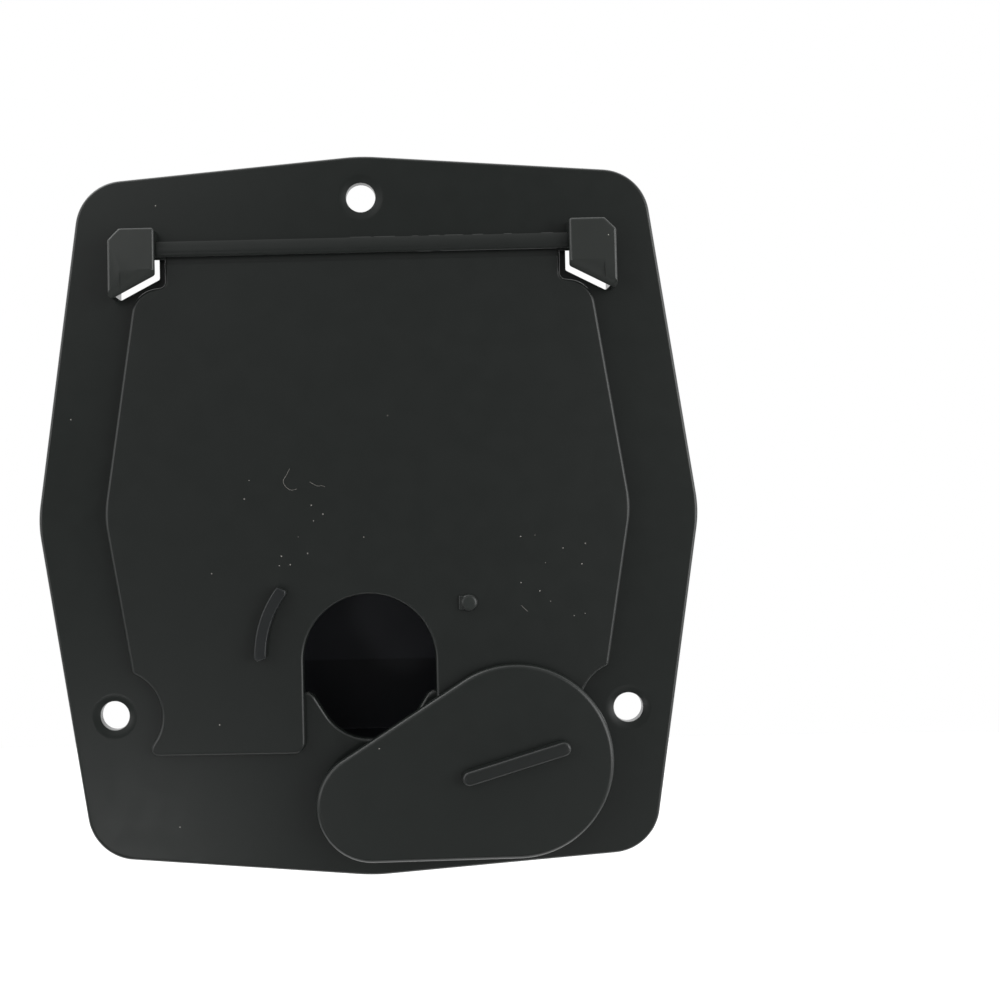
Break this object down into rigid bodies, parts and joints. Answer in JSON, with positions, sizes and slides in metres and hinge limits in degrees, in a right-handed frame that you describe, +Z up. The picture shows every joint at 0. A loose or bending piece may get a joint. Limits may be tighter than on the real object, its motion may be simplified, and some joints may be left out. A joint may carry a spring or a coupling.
{
  "type": "rv power cord hatch",
  "caption": "Black plastic wall hatch with eight sides for a caravan's power cord, with a hinged door, a notch in its foot and a teardrop cover that swings over the notch",
  "frame": {"origin": "on the flange's flat back, on the hatch's centre line, level with the door's hinge", "axes": "the wall is the plane Y = 0 and the hatch faces -Y; +Z is up, with the hinge at the top of the door; +X is to the right as one looks at the hatch from outside"},
  "size_m": [0.1396, 0.0534, 0.1524],
  "materials": {
    "frame_plastic": "moulded black, fine grain with a soft sheen",
    "door_plastic": "moulded black, fine grain with a soft sheen, a few light scratches",
    "cover_plastic": "moulded black, fine grain with a soft sheen",
    "box_plastic": "moulded black, plain"
  },
  "bodies": {
    "hatch_frame": {"frame": "frame_plastic", "back_box": "box_plastic"},
    "door": {"door": "door_plastic"},
    "cord_cover": {"cord_cover": "cover_plastic"}
  },
  "joints": [
    {"name": "door_hinge", "type": "hinge", "parent": "hatch_frame", "child": "door", "pos_m": [0, -0.00515, 0], "axis": [-1, 0, 0], "range_deg": [0, 180]},
    {"name": "cover_swing", "type": "hinge", "parent": "hatch_frame", "child": "cord_cover", "pos_m": [0, -0.0066, -0.1174], "axis": [0, -1, 0], "range_deg": [-216, 75]}
  ]
}
